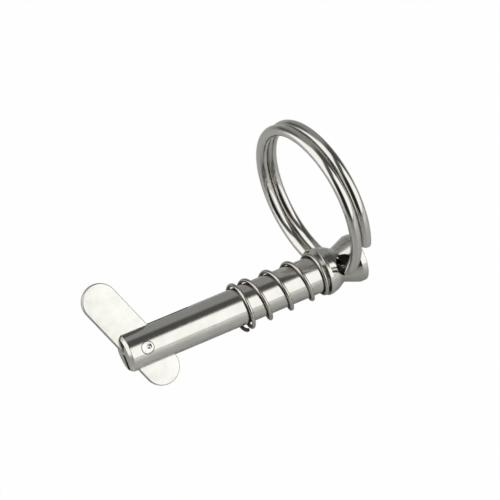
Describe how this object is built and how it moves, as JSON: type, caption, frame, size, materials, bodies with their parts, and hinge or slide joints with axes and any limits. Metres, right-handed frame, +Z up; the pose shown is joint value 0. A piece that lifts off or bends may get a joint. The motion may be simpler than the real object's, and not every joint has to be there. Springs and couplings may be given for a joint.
{
  "type": "quick release pin",
  "caption": "Drop-nose locking pin: round steel shank with a slotted tip and swinging toggle plate, take-up spring, waisted head and split ring.",
  "frame": {"origin": "on the pin axis, halfway along the bare shank between the tip and the spring", "axes": "+X towards the head, +Z up, as the pin comes to rest on the toggle, the head flange and the ring. The pin axis is pitched 2.54 degrees, tip up, and the rivet axis is rolled 41.24 degrees from level"},
  "size_m": [0.0586, 0.0349, 0.035],
  "materials": {
    "turned_steel": "fine turned stainless steel",
    "plate_steel": "tumbled stainless sheet",
    "rivet_steel": "dressed flush",
    "spring_wire": "drawn stainless wire",
    "ring_wire": "polished wire"
  },
  "bodies": {
    "pin": {"pin_body": "turned_steel", "spring": "spring_wire", "toggle_rivet": "rivet_steel"},
    "toggle": {"toggle_plate": "plate_steel"},
    "ring": {"split_ring": "ring_wire"}
  },
  "joints": [
    {"name": "toggle_hinge", "type": "hinge", "parent": "pin", "child": "toggle", "pos_m": [-0.00859, 0, 0.00038], "axis": [-0.0292, 0.752, -0.6586], "range_deg": [-209, 75]},
    {"name": "ring_hinge", "type": "hinge", "parent": "pin", "child": "ring", "pos_m": [0.03686, 0, -0.00164], "axis": [-0.0292, 0.752, -0.6586], "range_deg": [-73, 261]}
  ]
}
